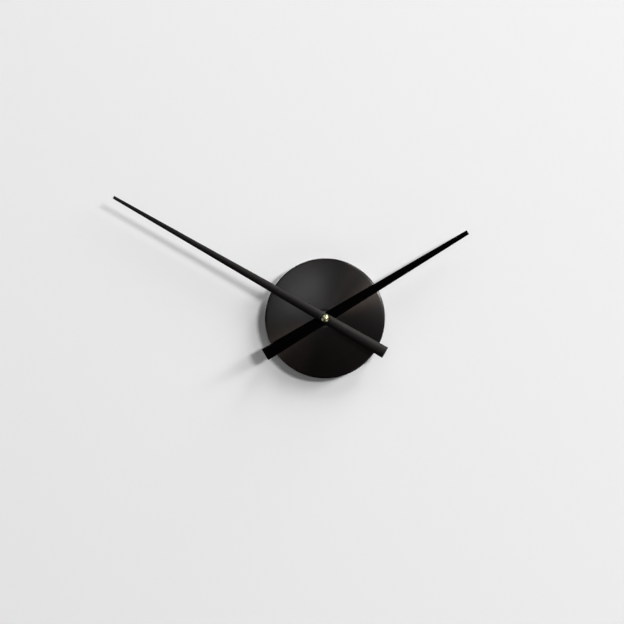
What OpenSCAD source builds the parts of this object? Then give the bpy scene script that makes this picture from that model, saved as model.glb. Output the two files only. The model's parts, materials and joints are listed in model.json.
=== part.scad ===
// Hands-only wall clock: a round spun-metal cover hides a one-cell quartz movement,
// and two long tapered hands turn on the movement's shaft in front of it.
// Row frame: +Z up, the viewer stands at -Y, and the wall is the plane y = 0.
// Every module draws in the dial frame: x to the right, y up, z out of the wall to the viewer.

/* [Cover] */
// Outside diameter of the round cover
cover_d = 110; // [108:1:130]
// Thickness of the cover's front sheet
cover_sheet = 1.2; // [0.8:0.1:1.5]
// Thickness of the cover's skirt
skirt_sheet = 1.0; // [0.8:0.1:1.2]
// Radius of the sphere that the crowned front face is part of
crown_r = 500; // [480:10:900]
// Outside radius of the shoulder between front face and skirt
shoulder_r = 1.4; // [1.3:0.1:3]

/* [Hands] */
// Length of the minute hand from the shaft to its tip
minute_reach = 222; // [150:1:260]
// Length of the minute hand's tail, behind the shaft
minute_tail = 63; // [40:1:80]
// Width of the minute hand at its tip
minute_tip_w = 3.2; // [3:0.1:6]
// Width of the minute hand at the end of its tail
minute_tail_w = 11.2; // [10:0.1:14]
// Length of the hour hand from the shaft to its tip
hour_reach = 152; // [110:1:200]
// Length of the hour hand's tail, behind the shaft
hour_tail = 64; // [40:1:80]
// Width of the hour hand at its tip
hour_tip_w = 4.6; // [3:0.1:7]
// Width of the hour hand at the end of its tail
hour_tail_w = 12.2; // [11:0.1:15]
// Height of a hand's crown as a share of its width
crown_share = 0.30; // [0.28:0.01:0.32]
// Wall thickness of a hand
hand_sheet = 0.8; // [0.6:0.05:0.85]
// Where the minute hand points, in degrees counter-clockwise from three o'clock
minute_angle = 150.2; // [0:0.1:360]
// Where the hour hand points, in degrees counter-clockwise from three o'clock
hour_angle = 31.1; // [0:0.1:360]

/* [Movement] */
// Side of the square movement case
case_w = 56; // [56:0.5:58]
// Wall thickness of the movement case
case_wall = 1.2; // [1:0.1:1.3]
// Gap between the wall and the back of the movement case
case_gap = 0.8; // [0.8:0.1:1]
// Thickness of the rubber washer between case and cover
rubber_t = 1.8; // [1.6:0.1:2.4]
// Radius of a wheel arbor
arbor_r = 0.45; // [0.4:0.01:0.45]
// Radial clearance of a pivot or pipe that turns in its hole
running_gap = 0.05; // [0.03:0.01:0.08]

/* [Shaft] */
// Radius of the threaded bush that holds the cover
bush_r = 4.0; // [3.9:0.05:4]
// Radius of the hour pipe
hour_pipe_r = 2.55; // [2.5:0.01:2.6]
// Radius of the minute pipe
minute_pipe_r = 1.75; // [1.7:0.01:1.76]
// Width across the two flats of the minute pipe
minute_flats = 3.2; // [3.1:0.05:3.3]
// Radius of the cap nut
cap_nut_r = 3.6; // [3.4:0.1:4]
// Width across the flats of the fixing nut
fixing_nut_af = 11; // [10:0.5:12]

/* [Battery] */
// Radius of the cell's can
cell_r = 7.0; // [6.9:0.05:7.1]
// Length of the cell's can, without its positive nub
cell_len = 49.0; // [48.8:0.1:49.2]

/* [Hidden] */
$fn = 96;
tiny = 0.01;            // overshoot of a cut past the face that it goes through
press_gap = 0.05;       // slack of a loose, glued or hanging fit

land_r = 9;             // flat land round the cover's hole

// Levels out of the wall, from back to front
case_back_z = case_gap;
lid_t = 1.2;
lid_z = case_back_z + lid_t;            // inner face of the lid
boss_z = lid_z + 0.6;                   // top of the lid's pivot bosses
pivot_z = lid_z - 0.6;                  // bottom of the lid's blind pivot holes
pivot_end_z = pivot_z + 0.1;            // rear end of an arbor
case_depth = 16;
case_front_z = case_back_z + case_depth;
front_wall_z = case_front_z - case_wall; // inner face of the front wall
bay_wall = 0.8;                          // front wall of the battery bay
blind_z = case_front_z - 0.4;            // end of the blind pivot holes in the front wall
plate_z = 10;                            // train plate
plate_t = 1.0;
cover_back_z = case_front_z + rubber_t;
cover_z = cover_back_z + cover_sheet;    // front of the cover's flat centre
washer_t = 0.5;
washer_r = 7;
nut_z = cover_z + washer_t;
nut_t = 2.2;
bush_end_z = nut_z + nut_t + 0.6;
bush_gap = 0.2;                          // free gap between the threaded bush and the hour hand's bush
flange_t = 0.6;
hour_z = bush_end_z + bush_gap + flange_t;            // underside of the hour hand
hour_bush_top_z = hour_z + 2.6;
hour_pipe_end_z = hour_z + 2.2;
hour_crown_z = hour_z + crown_share * hour_tail_w;
minute_flange_t = 0.5;
minute_z = hour_crown_z + 0.75;          // underside of the minute hand
minute_centre_w = minute_tail_w
    - (minute_tail_w - minute_tip_w) * minute_tail / (minute_tail + minute_reach);
cap_z = minute_z + crown_share * minute_centre_w + 0.15;   // seat of the cap nut
flats_end_z = cap_z - 0.1;
hour_boss_r = 3.4;
minute_boss_r = 3.0;
minute_weight_len = 49;
hour_weight_len = 18;
thread_r = 1.4;
thread_end_z = cap_z + 2.2;
cap_skirt = 2.0;                         // straight part of the cap nut
cap_dome = 1.8;                          // height of its dome
seconds_end_z = cap_z;                   // front end of the seconds arbor

// Case plan
case_in = case_w / 2 - case_wall;        // half of the inside width
corner_r = 3;
bay_h = 15.2;                            // inside height of the battery bay
bay_low = -case_in;
bay_high = bay_low + bay_h;
train_low = bay_high + case_wall;        // lower edge of the train compartment
lid_slack = 0.1;

// Gear train: pinions carry a profile shift of +0.5 and wheels of -0.5
pinion_teeth = 8;
fifth_teeth = 48;
seconds_teeth = 40;
third_teeth = 60;
centre_teeth = 64;
cannon_teeth = 12;
minute_teeth = 36;
hour_pinion_teeth = 10;
hour_teeth = 40;
shift = 0.5;
pressure = 20;
backlash = 0.06;                         // thinning of each tooth, in modules
centre_m = 0.2;
third_d = centre_m * (pinion_teeth + centre_teeth) / 2;        // distance of the third arbor
third_m = 2 * third_d / (pinion_teeth + third_teeth);
seconds_m = 0.3;
fifth_d = seconds_m * (pinion_teeth + seconds_teeth) / 2;
fifth_m = 0.22;
rotor_d = fifth_m * (pinion_teeth + fifth_teeth) / 2;
minute_m = 0.35;
minute_d = minute_m * (cannon_teeth + minute_teeth) / 2;
hour_m = 2 * minute_d / (hour_pinion_teeth + hour_teeth);

third_dir = 30;
fifth_dir = 155;
rotor_dir = 160;
minute_dir = 100;
set_dir = 80;
third_at = polar(third_d, third_dir);
fifth_at = polar(fifth_d, fifth_dir);
rotor_at = fifth_at + polar(rotor_d, rotor_dir);
minute_at = polar(minute_d, minute_dir);
set_at = minute_at + polar(minute_d, set_dir);

// Levels of the wheels, [back, front]
fifth_level = [3.2, 4.0];
fifth_pinion_level = [4.0, 6.0];
rotor_pinion_level = [2.9, 5.0];
magnet_level = [5.0, 8.0];
seconds_level = [4.8, 5.6];
seconds_pinion_level = [5.6, 7.9];
third_level = [6.8, 7.6];
third_pinion_level = [7.6, 9.8];
centre_level = [8.4, 9.4];
pipe_back_z = 8.1;
spring_t = 0.3;
collar_r = 1.8;                          // collars on the pipe, either side of wheel and spring
cannon_level = [11.4, 12.9];
minute_level = [11.6, 12.6];
minute_pinion_level = [12.6, 14.8];
hour_level = [13.4, 14.6];
pipe_step_z = 13.0;
pipe_inner_r = 1.2;                      // minute pipe where the wheels sit on it

// Stepper motor
stator_level = [6.2, 7.2];
stator_hole_r = 3.1;
stator_slit = 0.6;
magnet_r = 2.6;
core_w = 3.4;
core_t = 1.2;
coil_x = -21.2;
coil_z = stator_level[1] + core_t / 2;
coil_y = [-5, 16];
coil_flange_t = 1;
coil_flange_r = 4.6;
coil_r = 4.3;
coil_tube_r = 2.3;
core_y = [-8.8, 20.6];
stator_x = [-16.2, -8.0];

// Circuit board
board_x = [10.5, 25.5];
board_y = [13, 25.5];
board_level = [4.6, 5.6];

// Set knob and its recess in the lid
knob_r = 7.2;
knob_level = [0.5, 2.6];
recess_r = 8.0;
recess_level = [3.0, 4.0];
set_r = 1.2;
set_pivot_r = 0.8;
minute_arbor_r = 0.6;

// Hanger
hanger_x = 11;
hanger_t = 1.8;
hanger_top = 46;
hanger_corner_r = 6;
keyhole_y = 35;
keyhole_r = 4.1;
slot_r = 2.4;
slot_y = 41;

// Battery
cell_y = bay_low + bay_h / 2;
cell_z = case_back_z + 7.8;
cell_x = -24.2;                          // outer face of the negative end
nub_r = 2.75;
nub_len = 1.45;
label_t = 0.15;
contact_t = 0.4;
strip_level = [5.6, 8.6];                // contact strips where they run along the case
cap_t = 0.3;
cap_r = 4.8;

function polar(r, a) = [r * cos(a), r * sin(a)];
function mix(a, b, t) = a + (b - a) * t;

// Points on an arc from angle a0 to a1 about a centre
function arc(centre, r, a0, a1, steps) =
    [for (i = [0:steps]) centre + polar(r, mix(a0, a1, i / steps))];

// Involute of an angle, in degrees
function involute(a) = tan(a) * 180 / PI - a;

// Half of the angle that a tooth takes up at radius r
function half_tooth(r, m, teeth, x) =
    let (
        pitch_r = m * teeth / 2,
        base_r = pitch_r * cos(pressure),
        thick = m * (PI / 2 + 2 * x * tan(pressure) - backlash)
    )
    thick / (2 * pitch_r) * 180 / PI + involute(pressure) - involute(acos(min(1, base_r / r)));

function tip_r(m, teeth, x) = m * (teeth / 2 + x + (x > 0 ? 0.85 : 0.9));
function root_r(m, teeth, x) = m * (teeth / 2 + x - 1.25);

// Outline of a spur wheel whose first tooth points at angle phase
function gear_points(m, teeth, x, phase) =
    let (
        base_r = m * teeth / 2 * cos(pressure),
        low = max(base_r, root_r(m, teeth, x)),
        tip = tip_r(m, teeth, x),
        flank = [root_r(m, teeth, x), low + tiny, mix(low, tip, 0.35), mix(low, tip, 0.7), tip]
    )
    [for (i = [0:teeth - 1])
        for (side = [-1, 1])
            for (k = [0:len(flank) - 1])
                let (r = flank[side < 0 ? k : len(flank) - 1 - k])
                polar(r, phase + 360 * i / teeth + side * half_tooth(r, m, teeth, x))];

// Phase of a wheel that meshes with another one: dir points from the first to the second
function mesh_phase(dir, teeth_a, phase_a, teeth_b) =
    dir + 180 - (180 - (dir - phase_a) * teeth_a) / teeth_b;

third_pinion_phase = mesh_phase(third_dir, centre_teeth, 0, pinion_teeth);
seconds_pinion_phase = mesh_phase(third_dir + 180, third_teeth, 0, pinion_teeth);
fifth_pinion_phase = mesh_phase(fifth_dir, seconds_teeth, 0, pinion_teeth);
rotor_pinion_phase = mesh_phase(rotor_dir, fifth_teeth, 0, pinion_teeth);
cannon_phase = mesh_phase(minute_dir + 180, minute_teeth, 0, cannon_teeth);
set_phase = mesh_phase(set_dir, minute_teeth, 0, cannon_teeth);
hour_phase = mesh_phase(minute_dir + 180, hour_pinion_teeth, 0, hour_teeth);

// Dial frame to row frame: z out of the wall becomes -Y, and y up becomes +Z
module dial_frame() {
    rotate([90, 0, 0]) children();
}

module at(p) {
    translate([p[0], p[1], 0]) children();
}

module level(z) {
    translate([0, 0, z[0]]) linear_extrude(z[1] - z[0]) children();
}

module rod(r, z0, z1) {
    translate([0, 0, z0]) cylinder(r = r, h = z1 - z0);
}

module tube(r, bore, z0, z1) {
    difference() {
        rod(r, z0, z1);
        rod(bore, z0 - tiny, z1 + tiny);
    }
}

module box(x, y, z) {
    translate([x[0], y[0], z[0]]) cube([x[1] - x[0], y[1] - y[0], z[1] - z[0]]);
}

// A square with round corners
module rounded(half, r) {
    for (a = [0, 90])
        rotate(a) square([2 * half, 2 * (half - r)], center = true);
    for (x = [-1, 1], y = [-1, 1])
        translate([x, y] * (half - r)) circle(r);
}

// A toothed outline with a twelve-sided hole that grips a round arbor
module gear(m, teeth, x, phase, hole_r, windows = 0) {
    rim = root_r(m, teeth, x) - 3 * m;
    hub = rim * 0.45;
    rim_spoke = 14;                      // half of a spoke's angle at the rim
    hub_spoke = 26;                      // half of a spoke's angle at the hub
    difference() {
        polygon(gear_points(m, teeth, x, phase));
        circle(r = hole_r / cos(15), $fn = 12);
        for (i = [0:1:windows - 1])
            let (start = 360 * i / windows, end = 360 * (i + 1) / windows)
            polygon(concat(
                arc([0, 0], rim, start + rim_spoke, end - rim_spoke, 6),
                arc([0, 0], hub, end - hub_spoke, start + hub_spoke, 4)));
    }
}

// Cover and its fixings

// Height of the centre of a crown that leaves the flat land at height z
function crown_centre(z, radius) = z - sqrt(radius * radius - land_r * land_r);

// Centre of a fillet that is tangent inside a crown and reaches out to radius edge
function fillet_centre(crown_z, radius, edge, fillet) =
    [edge - fillet, crown_z + sqrt(pow(radius - fillet, 2) - pow(edge - fillet, 2))];

// Outline of one side of the sheet, from the flat land over the crown and round the shoulder
function crown_line(crown_z, radius, edge, fillet) =
    let (
        centre = fillet_centre(crown_z, radius, edge, fillet),
        touch = atan2(centre[1] - crown_z, centre[0])
    )
    concat(
        arc([0, crown_z], radius, acos(land_r / radius), touch, 14),
        arc(centre, fillet, touch, 0, 10));

function reversed(list) = [for (i = [len(list) - 1:-1:0]) list[i]];

// Half section of the cover: flat land, crowned front sheet, round shoulder and straight skirt
module cover_section() {
    chamfer = 0.2;
    hole = bush_r + press_gap;
    outer_r = cover_d / 2;
    inner_r = outer_r - skirt_sheet;
    outer_crown = crown_centre(cover_z, crown_r);
    inner_crown = crown_centre(cover_back_z, crown_r - cover_sheet);
    polygon(concat(
        [[hole, cover_back_z], [hole, cover_z]],
        crown_line(outer_crown, crown_r, outer_r, shoulder_r),
        [[outer_r, chamfer], [outer_r - chamfer, 0], [inner_r + chamfer, 0], [inner_r, chamfer]],
        reversed(crown_line(inner_crown, crown_r - cover_sheet, inner_r, shoulder_r - skirt_sheet))));
}

module cover() {
    color("#1d1c1b") rotate_extrude($fn = 180) cover_section();
}

module rubber_washer() {
    color("#161616") tube(land_r, bush_r, case_front_z, cover_back_z);
}

module front_washer() {
    color("#161616") tube(washer_r, bush_r, cover_z, nut_z);
}

module fixing_nut() {
    color("#b59a5a") difference() {
        translate([0, 0, nut_z])
            cylinder(r = fixing_nut_af / 2 / cos(30), h = nut_t, $fn = 6);
        rod(bush_r, nut_z - tiny, nut_z + nut_t + tiny);
    }
}

// The brass bush that is moulded into the case: its flange sits inside the front wall
module threaded_bush() {
    flange_r = 5.5;
    color("#b59a5a") difference() {
        union() {
            rod(bush_r, front_wall_z, bush_end_z);
            rod(flange_r, front_wall_z - 0.6, front_wall_z);
        }
        rod(hour_pipe_r + running_gap, front_wall_z - 1, bush_end_z + 1);
    }
}

// Movement case

module case_front() {
    post_r = 1.5;
    post_x = [-15, 11];
    post_y = [-8, 18.4];
    ledge_y = 20;
    ledge_top = 4;
    contact_slot = contact_t + 0.2;
    push_window = [-8, 8];
    color("#171717") difference() {
        union() {
            difference() {
                level([case_back_z, case_front_z]) rounded(case_w / 2, corner_r);
                box([-case_in, case_in], [train_low, case_in], [0, front_wall_z]);
                box([-case_in, case_in], [bay_low, bay_high], [0, case_front_z - bay_wall]);
            }
            // posts that carry the train plate
            for (x = post_x, y = post_y)
                at([x, y]) rod(post_r, plate_z + plate_t, front_wall_z + tiny);
            // ledges under the lid
            for (x = [-1, 1])
                translate([x * (case_in - 0.3), ledge_y, 0])
                    box([-0.4, 0.4], [-3, 3], [lid_z, ledge_top]);
        }
        rod(bush_r + running_gap, front_wall_z - 1, case_front_z + 1);
        at(minute_at) rod(minute_arbor_r + running_gap, front_wall_z - 1, blind_z);
        at(set_at) rod(set_pivot_r + running_gap, front_wall_z - 1, blind_z);
        // openings in the partition for the two battery contacts
        for (x = [-case_in, case_in - contact_slot])
            box([x, x + contact_slot], [bay_high - 1, train_low + 1],
                [strip_level[0] - 0.2, strip_level[1] + 0.2]);
        // window that lets a finger push the cell out
        box(push_window, [-case_w / 2 - 1, bay_low + 1], [-1, 7]);
    }
}

module pivot_boss(r) {
    rod(r, lid_z - tiny, boss_z);
}

module case_back() {
    edge = case_in - lid_slack;
    boss_r = 1.2;
    stator_post_r = 1.5;
    stator_posts = [[-10.5, 18.8], [-14, -7.2]];
    board_post_r = 1.2;
    board_posts = [[13, 23.5], [23.5, 15]];
    color("#1b1b1b") difference() {
        union() {
            box([-edge, edge], [train_low + lid_slack, edge], [case_back_z, lid_z]);
            at(set_at) rod(recess_r + 1, case_back_z, recess_level[1]);
            for (p = [[0, 0], third_at, fifth_at, rotor_at])
                at(p) pivot_boss(boss_r);
            // posts under the stator and under the circuit board
            for (p = stator_posts)
                at(p) rod(stator_post_r, lid_z - tiny, stator_level[0]);
            for (p = board_posts)
                at(p) rod(board_post_r, lid_z - tiny, board_level[0]);
        }
        at(set_at) rod(recess_r, 0, recess_level[0]);
        at(set_at) rod(set_r + running_gap, 0, recess_level[1] + 1);
        for (p = [[0, 0], third_at, fifth_at, rotor_at])
            at(p) rod(arbor_r + running_gap, pivot_z, boss_z + 1);
    }
}

// Plate from the top of the case to two round upper corners
module hanger_outline(low) {
    round_y = hanger_top - hanger_corner_r;
    round_x = hanger_x - hanger_corner_r;
    translate([-hanger_x, low]) square([2 * hanger_x, round_y - low]);
    translate([-round_x, low]) square([2 * round_x, hanger_top - low]);
    for (x = [-round_x, round_x])
        translate([x, round_y]) circle(hanger_corner_r);
}

// Keyhole plate with a flange along the top of the case and two gussets
module hanger() {
    top = case_w / 2;
    flange_y = 1.6;
    flange_end_z = 13;
    gusset_t = 1.4;
    gusset_run = 12;                     // how far a gusset reaches up the plate
    gusset_rise = 10;                    // how far it reaches out along the flange
    gusset_lip = 2.6;                    // what is left of it at its upper end
    color("#171717") difference() {
        union() {
            level([case_back_z, case_back_z + hanger_t]) hanger_outline(top);
            box([-hanger_x, hanger_x], [top, top + flange_y], [case_back_z, flange_end_z]);
            for (x = [-1, 1])
                translate([x * (hanger_x - gusset_t / 2), top, case_back_z])
                    rotate([90, 0, 90]) translate([0, 0, -gusset_t / 2])
                        linear_extrude(gusset_t) polygon([[0, 0], [gusset_run, 0],
                            [gusset_run, gusset_lip], [flange_y, gusset_rise], [0, gusset_rise]]);
        }
        at([0, keyhole_y]) rod(keyhole_r, 0, 5);
        at([0, slot_y]) rod(slot_r, 0, 5);
        box([-slot_r, slot_r], [keyhole_y, slot_y], [0, 5]);
    }
}

module train_plate() {
    plate_x = [-16.6, 12.6];
    plate_y = [-9.8, 20];
    pipe_hole_r = 2.8;
    color("#d8d4c8") difference() {
        box(plate_x, plate_y, [plate_z, plate_z + plate_t]);
        rod(pipe_hole_r, plate_z - 1, plate_z + 2);
        for (p = [third_at, fifth_at, rotor_at])
            at(p) rod(arbor_r + running_gap, plate_z - 1, plate_z + 2);
        at(minute_at) rod(minute_arbor_r + running_gap, plate_z - 1, plate_z + 2);
        at(set_at) rod(set_r + running_gap, plate_z - 1, plate_z + 2);
    }
}

// Electronics

module circuit_board() {
    color("#4a6b2f") box(board_x, board_y, board_level);
}

module control_chip() {
    // a drop of black resin over the chip
    chip_at = [15.5, 18];
    drop_r = 4;
    sunk = 2.4;                          // how far the sphere's centre lies under the board's face
    color("#101010") at(chip_at) difference() {
        translate([0, 0, board_level[1] - sunk]) sphere(r = drop_r);
        box([-9, 9], [-9, 9], [-9, board_level[1]]);
    }
}

module quartz_crystal() {
    can_r = 1.5;
    can_len = 6.5;
    can_at = [17, 23.4];
    color("#c9ccd0") translate([can_at[0], can_at[1], board_level[1] + can_r]) rotate([0, 90, 0])
        cylinder(r = can_r, h = can_len);
}

module battery_contact_positive() {
    x0 = case_in - contact_t - 0.1;
    x1 = x0 + contact_t;
    pad = 4.5;                           // half of the width that touches the cell
    foot_y = [14.5, 17.5];
    color("#c3c2bb") union() {
        box([x0, x1], [cell_y - pad, cell_y + pad], [cell_z - 5, cell_z + 4]);
        box([x0, x1], [cell_y + pad - 0.1, foot_y[1] + 0.5], strip_level);
        box([board_x[1] - 2, x1], foot_y, [board_level[1], board_level[1] + contact_t]);
    }
}

// Strip that bulges towards the cell's negative end, then runs round the case to the board
module battery_contact_negative() {
    x0 = -case_in + 0.1;
    x1 = x0 + contact_t;
    foot = x0 + contact_t;
    bulge = cell_x - press_gap - foot;
    half = 5.5;
    radius = (half * half + bulge * bulge) / (2 * bulge);
    swing = asin(half / radius);
    centre = [foot + bulge - radius, cell_y];
    top = case_in - 0.1;
    foot_x = [11.5, 14.5];
    color("#c3c2bb") union() {
        level([cell_z - 4, cell_z + 4]) polygon(concat(
            arc(centre, radius, -swing, swing, 12),
            arc(centre, radius - contact_t, swing, -swing, 12)));
        box([x0, x1], [cell_y + half - 1, top], strip_level);
        box([x0, foot_x[1]], [top - contact_t, top], strip_level);
        box(foot_x, [board_y[1] - 1.5, top], [board_level[1], board_level[1] + contact_t]);
    }
}

// Stepper motor

module along_coil(y0, y1) {
    translate([coil_x, y0, coil_z]) rotate([-90, 0, 0]) linear_extrude(y1 - y0) children();
}

module coil_bobbin() {
    color("#e6e1d2") difference() {
        union() {
            along_coil(coil_y[0], coil_y[1]) circle(coil_tube_r);
            along_coil(coil_y[0], coil_y[0] + coil_flange_t) circle(coil_flange_r);
            along_coil(coil_y[1] - coil_flange_t, coil_y[1]) circle(coil_flange_r);
        }
        along_coil(coil_y[0] - 1, coil_y[1] + 1)
            square([core_w + 0.1, core_t + 0.1], center = true);
    }
}

module coil_winding() {
    color("#b4622d") along_coil(coil_y[0] + coil_flange_t, coil_y[1] - coil_flange_t)
        difference() {
            circle(coil_r);
            circle(coil_tube_r);
        }
}

module coil_core() {
    color("#8b8d90") box([coil_x - core_w / 2, coil_x + core_w / 2], core_y,
        [coil_z - core_t / 2, coil_z + core_t / 2]);
}

// One pole piece, above or below the slit line through the rotor's axis
module pole_piece(side) {
    slit = rotor_at[1] + side * stator_slit / 2;
    far = side > 0 ? core_y[1] + 0.2 : core_y[0] - 0.2;
    arm = side > 0 ? coil_y[1] + 1 : coil_y[0] - 0.6;
    difference() {
        polygon([
            [stator_x[1], slit], [stator_x[1], far], [coil_x - core_w / 2 - 0.3, far],
            [coil_x - core_w / 2 - 0.3, arm], [stator_x[0], arm], [stator_x[0], slit]]);
        translate(rotor_at) circle(stator_hole_r);
    }
}

module stator_upper() {
    color("#8b8d90") level(stator_level) pole_piece(1);
}

module stator_lower() {
    color("#8b8d90") level(stator_level) pole_piece(-1);
}

// Wheels

module wheel_and_pinion(m, teeth, phase, wheel_level, pinion_m, pinion_n, pinion_phase,
        pinion_level, hole_r, windows) {
    level(wheel_level) gear(m, teeth, -shift, phase, hole_r, windows);
    level(pinion_level) gear(pinion_m, pinion_n, shift, pinion_phase, hole_r);
}

module rotor_pinion() {
    color("#e9e6dd") at(rotor_at) level(rotor_pinion_level)
        gear(fifth_m, pinion_teeth, shift, rotor_pinion_phase, arbor_r);
}

module rotor_magnet() {
    color("#6b6c70") at(rotor_at) tube(magnet_r, arbor_r, magnet_level[0], magnet_level[1]);
}

module rotor_arbor() {
    color("#c9ccd0") at(rotor_at) rod(arbor_r, pivot_end_z, plate_z + plate_t);
}

module fifth_wheel() {
    color("#f1eee6") at(fifth_at) wheel_and_pinion(fifth_m, fifth_teeth, 0, fifth_level,
        seconds_m, pinion_teeth, fifth_pinion_phase, fifth_pinion_level, arbor_r, 4);
}

module fifth_arbor() {
    color("#c9ccd0") at(fifth_at) rod(arbor_r, pivot_end_z, plate_z + plate_t);
}

module seconds_wheel() {
    color("#f1eee6") wheel_and_pinion(seconds_m, seconds_teeth, 0, seconds_level,
        third_m, pinion_teeth, seconds_pinion_phase, seconds_pinion_level, arbor_r, 4);
}

module seconds_arbor() {
    color("#c9ccd0") rod(arbor_r, pivot_end_z, seconds_end_z);
}

module third_wheel() {
    color("#f1eee6") at(third_at) wheel_and_pinion(third_m, third_teeth, 0, third_level,
        centre_m, pinion_teeth, third_pinion_phase, third_pinion_level, arbor_r, 4);
}

module third_arbor() {
    color("#c9ccd0") at(third_at) rod(arbor_r, pivot_end_z, plate_z + plate_t);
}

module centre_wheel() {
    color("#d9b65c") level(centre_level)
        gear(centre_m, centre_teeth, -shift, 0, pipe_inner_r + running_gap, 4);
}

// Three-armed spring washer that presses the centre wheel against the pipe
module clutch_spring() {
    arm_r = 3.6;
    color("#c9ccd0") level([centre_level[1], centre_level[1] + spring_t]) difference() {
        polygon([for (i = [0:11]) polar(i % 4 == 0 ? arm_r : 2, 30 * i)]);
        circle(r = (pipe_inner_r + running_gap) / cos(15), $fn = 12);
    }
}

module cannon_pinion() {
    color("#d9b65c") level(cannon_level)
        gear(minute_m, cannon_teeth, shift, cannon_phase, pipe_inner_r);
}

// Pipe that carries the minute hand: a small rear end for the wheels, a running length inside the
// hour pipe, two flats for the hand and a thread for the cap nut
module minute_pipe() {
    color("#d9b65c") difference() {
        union() {
            rod(pipe_inner_r, pipe_back_z, pipe_step_z);
            rod(collar_r, pipe_back_z, centre_level[0]);
            rod(collar_r, centre_level[1] + spring_t, centre_level[1] + 2 * spring_t);
            rod(minute_pipe_r, pipe_step_z, minute_z - minute_flange_t);
            intersection() {
                rod(minute_pipe_r, minute_z - minute_flange_t - tiny, flats_end_z);
                box([-5, 5], [-minute_flats / 2, minute_flats / 2], [0, 50]);
            }
            rod(thread_r, flats_end_z - tiny, thread_end_z);
        }
        rod(arbor_r + running_gap, 0, thread_end_z + 1);
    }
}

module minute_wheel() {
    color("#f1eee6") at(minute_at) wheel_and_pinion(minute_m, minute_teeth, 0, minute_level,
        hour_m, hour_pinion_teeth, 0, minute_pinion_level, minute_arbor_r, 4);
}

module minute_wheel_arbor() {
    color("#c9ccd0") at(minute_at) rod(minute_arbor_r, plate_z + 0.2, blind_z - 0.1);
}

module hour_wheel() {
    color("#f1eee6") level(hour_level)
        gear(hour_m, hour_teeth, -shift, hour_phase, hour_pipe_r, 0);
}

module hour_pipe() {
    color("#e0ddd4") tube(hour_pipe_r, minute_pipe_r + running_gap, hour_level[0], hour_pipe_end_z);
}

// Time setting

module set_knob() {
    notches = 24;
    notch_r = 0.6;
    notch_out = 0.25;                    // how far a notch's centre lies outside the knob
    dish = [2.2, knob_r - 1.4];          // inner and outer radius of the finger dish
    dish_depth = 0.8;
    color("#202020") at(set_at) difference() {
        rod(knob_r, knob_level[0], knob_level[1]);
        for (i = [0:notches - 1])
            at(polar(knob_r + notch_out, 360 * i / notches)) rod(notch_r, 0, 4);
        tube(dish[1], dish[0], 0, knob_level[0] + dish_depth);
    }
}

module set_arbor() {
    color("#e0ddd4") at(set_at) union() {
        rod(set_r, knob_level[1], cannon_level[1]);
        rod(set_pivot_r, cannon_level[1] - tiny, blind_z - 0.1);
    }
}

module set_pinion() {
    color("#e0ddd4") at(set_at) level([cannon_level[0], cannon_level[1] - 0.1])
        gear(minute_m, cannon_teeth, shift, set_phase, set_r);
}

// Hands

// Share of a hand's width that its round section has as radius, and how deep its centre lies
radius_share = (0.25 + crown_share * crown_share) / (2 * crown_share);
depth_share = radius_share - crown_share;

// Tapered cone under the whole hand, thinner than the outer surface by inset
module hand_cone(reach, tail, tip_w, tail_w, inset) {
    run = reach + tail;
    over = 3;                            // the cone runs past both ends, and a box trims it
    grow = (tail_w - tip_w) / run * over;
    w0 = tail_w + grow;
    w1 = tip_w - grow;
    rise = depth_share * (w0 - w1);
    tilt = atan(rise / (run + 2 * over));
    translate([-tail - over, 0, -depth_share * w0]) rotate([0, 90 - tilt, 0])
        cylinder(r1 = radius_share * w0 - inset, r2 = radius_share * w1 - inset,
            h = (run + 2 * over) / cos(tilt));
}

// Hollow tapered hand that lies along x with its underside at z = 0
module hand(reach, tail, tip_w, tail_w, boss_r) {
    end_wall = 1.2;
    difference() {
        intersection() {
            hand_cone(reach, tail, tip_w, tail_w, 0);
            box([-tail, reach], [-tail_w, tail_w], [0, tail_w]);
        }
        intersection() {
            hand_cone(reach, tail, tip_w, tail_w, hand_sheet);
            box([-tail + end_wall, reach - end_wall], [-tail_w, tail_w], [-1, tail_w]);
        }
        rod(boss_r, -1, tail_w);
    }
}

// Steel bar in the hollow of the tail, over a length that balances the hand
module counterweight(reach, tail, tip_w, tail_w, length) {
    start = -tail + 2;
    intersection() {
        hand_cone(reach, tail, tip_w, tail_w, hand_sheet + 2 * press_gap);
        box([start, start + length], [-tail_w, tail_w], [0.3, tail_w]);
    }
}

module hour_place() {
    translate([0, 0, hour_z]) rotate(hour_angle) children();
}

module minute_place() {
    translate([0, 0, minute_z]) rotate(minute_angle) children();
}

module hour_hand() {
    color("#0c0c0c") hour_place() hand(hour_reach, hour_tail, hour_tip_w, hour_tail_w, hour_boss_r);
}

module hour_counterweight() {
    color("#5f6164") hour_place() counterweight(hour_reach, hour_tail, hour_tip_w, hour_tail_w,
        hour_weight_len);
}

module hour_hand_bush() {
    color("#1a1a1a") difference() {
        union() {
            rod(hour_boss_r, hour_z - tiny, hour_bush_top_z);
            rod(hour_boss_r + 0.8, hour_z - flange_t, hour_z);
        }
        rod(hour_pipe_r, hour_z - flange_t - 1, hour_bush_top_z + 1);
    }
}

module minute_hand() {
    color("#0c0c0c") minute_place()
        hand(minute_reach, minute_tail, minute_tip_w, minute_tail_w, minute_boss_r);
}

module minute_counterweight() {
    color("#5f6164") minute_place()
        counterweight(minute_reach, minute_tail, minute_tip_w, minute_tail_w, minute_weight_len);
}

module minute_hand_bush() {
    color("#b59a5a") difference() {
        union() {
            rod(minute_boss_r, minute_z - tiny, cap_z);
            rod(minute_boss_r + 0.8, minute_z - minute_flange_t, minute_z);
        }
        intersection() {
            rod(minute_pipe_r, 0, 60);
            box([-5, 5], [-minute_flats / 2, minute_flats / 2], [0, 60]);
        }
    }
}

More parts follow.
